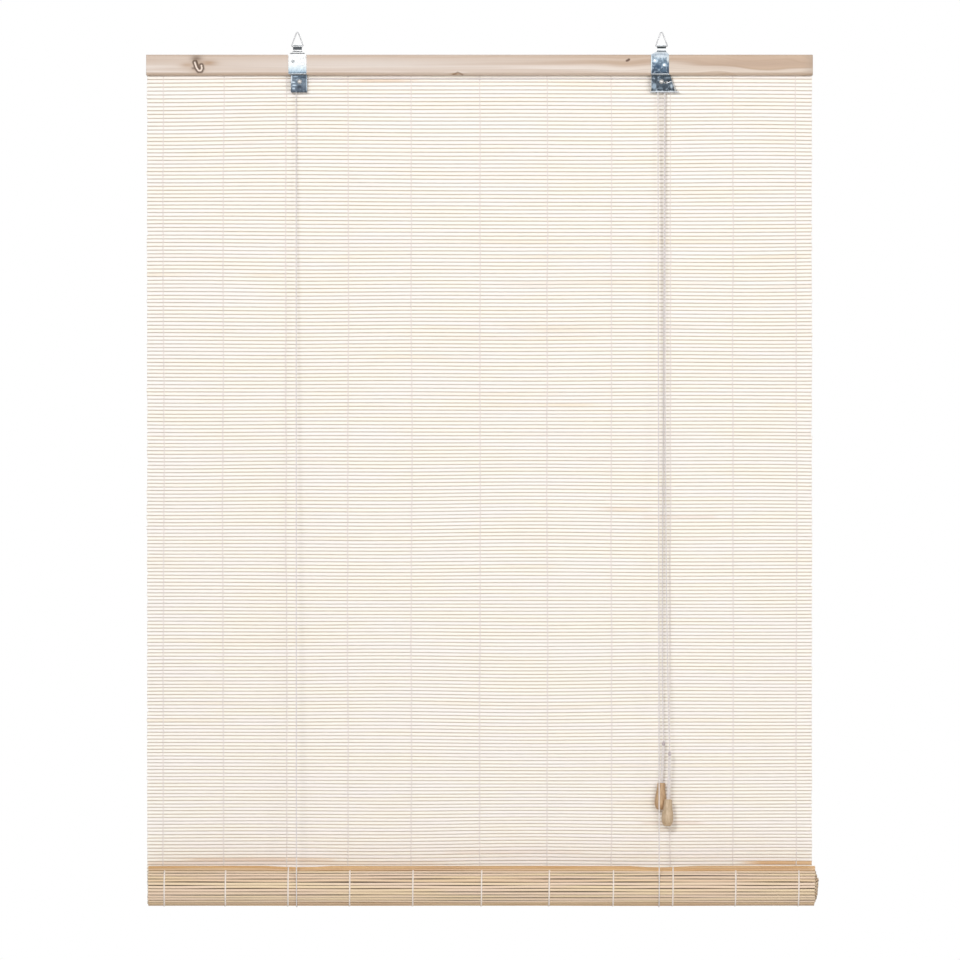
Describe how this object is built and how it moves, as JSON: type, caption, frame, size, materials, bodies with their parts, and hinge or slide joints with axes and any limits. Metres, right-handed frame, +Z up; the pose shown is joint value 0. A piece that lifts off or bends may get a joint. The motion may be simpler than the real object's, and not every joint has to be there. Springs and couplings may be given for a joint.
{
  "type": "bamboo roll up blind",
  "caption": "Reed roll-up blind on a wooden batten: two wire hanger rings, cord rollers, a pin cord lock and two wooden tassels.",
  "frame": {"origin": "midway between the two hook points, at the inside top of the hanger rings", "axes": "+Z up, +X along the batten towards the cord lock, -Y towards the room"},
  "size_m": [0.9095, 0.06, 1.184],
  "materials": {
    "batten_wood": "planed, bare",
    "reed": "natural, satin",
    "bracket_steel": "zinc plated",
    "ring_wire": "zinc plated wire",
    "nail_steel": "bright",
    "rivet_steel": "bright",
    "roller_plastic": "moulded",
    "lock_steel": "knurled",
    "staple_wire": "galvanised",
    "cord": "braided, off-white",
    "rail_wood": "bare dowel",
    "tassel_wood": "turned, oiled"
  },
  "bodies": {
    "headrail": {"head_batten": "batten_wood", "left_bracket": "bracket_steel", "right_bracket": "bracket_steel", "left_outer_nail": "nail_steel", "left_inner_nail": "nail_steel", "right_inner_nail": "nail_steel", "right_outer_nail": "nail_steel", "left_roller_rivet": "rivet_steel", "right_roller_rivet": "rivet_steel", "mat_staples": "staple_wire", "left_cord_staple": "staple_wire", "right_cord_staple": "staple_wire", "reed_mat": "reed", "cross_cord": "cord", "right_cord_turn": "cord", "left_cord_front_leg": "cord", "right_cord_front_leg": "cord", "left_cord_back_leg": "cord", "right_cord_back_leg": "cord", "left_cord_end_knot": "cord", "right_cord_end_knot": "cord", "rear_pull_cord": "cord", "front_pull_cord": "cord"},
    "left_hanger": {"left_ring": "ring_wire"},
    "right_hanger": {"right_ring": "ring_wire"},
    "left_pulley": {"left_roller": "roller_plastic"},
    "right_pulley": {"right_roller": "roller_plastic"},
    "cord_lock": {"lock_pin": "lock_steel"},
    "slings": {"left_cord_sling": "cord", "right_cord_sling": "cord"},
    "roll": {"reed_roll": "reed", "bottom_rail": "rail_wood"},
    "rear_pull": {"rear_tassel": "tassel_wood", "rear_tassel_knot": "cord", "rear_tassel_cord": "cord", "rear_cord_knot": "cord"},
    "front_pull": {"front_tassel": "tassel_wood", "front_tassel_knot": "cord", "front_tassel_loop": "cord", "front_cord_knot": "cord"}
  },
  "joints": [
    {"name": "blind_lift", "type": "slide", "parent": "headrail", "child": "slings", "axis": [0, 0, 1], "range_m": [-0.436, 0.015], "deforming": ["reed_mat", "left_cord_front_leg", "right_cord_front_leg", "left_cord_back_leg", "right_cord_back_leg", "rear_pull_cord", "front_pull_cord"]},
    {"name": "roll_turn", "type": "hinge", "parent": "slings", "child": "roll", "pos_m": [0, -0.015, -1.153], "axis": [1, 0, 0], "range_deg": [-60, 1450], "deforming": ["left_cord_sling", "right_cord_sling"]},
    {"name": "rear_tassel_slide", "type": "slide", "parent": "headrail", "child": "rear_pull", "axis": [0.006, 0, 1], "range_m": [-0.035, 0.89]},
    {"name": "front_tassel_slide", "type": "slide", "parent": "headrail", "child": "front_pull", "axis": [0.006, 0, 1], "range_m": [-0.035, 0.89]},
    {"name": "left_roller_spin", "type": "hinge", "parent": "headrail", "child": "left_pulley", "pos_m": [-0.2435, 0.00395, -0.0658], "axis": [0, 1, 0], "continuous": true},
    {"name": "right_roller_spin", "type": "hinge", "parent": "headrail", "child": "right_pulley", "pos_m": [0.2462, 0.00395, -0.0658], "axis": [0, 1, 0], "continuous": true},
    {"name": "lock_pin_slide", "type": "slide", "parent": "headrail", "child": "cord_lock", "axis": [0.9511, 0, 0.309], "range_m": [0, 0.003]},
    {"name": "left_ring_swing", "type": "hinge", "parent": "headrail", "child": "left_hanger", "pos_m": [-0.2463, 0, -0.0182], "axis": [1, 0, 0], "range_deg": [-95, 95]},
    {"name": "right_ring_swing", "type": "hinge", "parent": "headrail", "child": "right_hanger", "pos_m": [0.2463, 0, -0.0182], "axis": [1, 0, 0], "range_deg": [-95, 95]}
  ],
  "couplings": [
    {"joint": "roll_turn", "follows": "blind_lift", "rad_per_m": -56.99},
    {"joint": "rear_tassel_slide", "follows": "blind_lift", "ratio": -2},
    {"joint": "front_tassel_slide", "follows": "blind_lift", "ratio": -2},
    {"joint": "left_roller_spin", "follows": "blind_lift", "rad_per_m": 425.53},
    {"joint": "right_roller_spin", "follows": "blind_lift", "rad_per_m": 425.53}
  ]
}
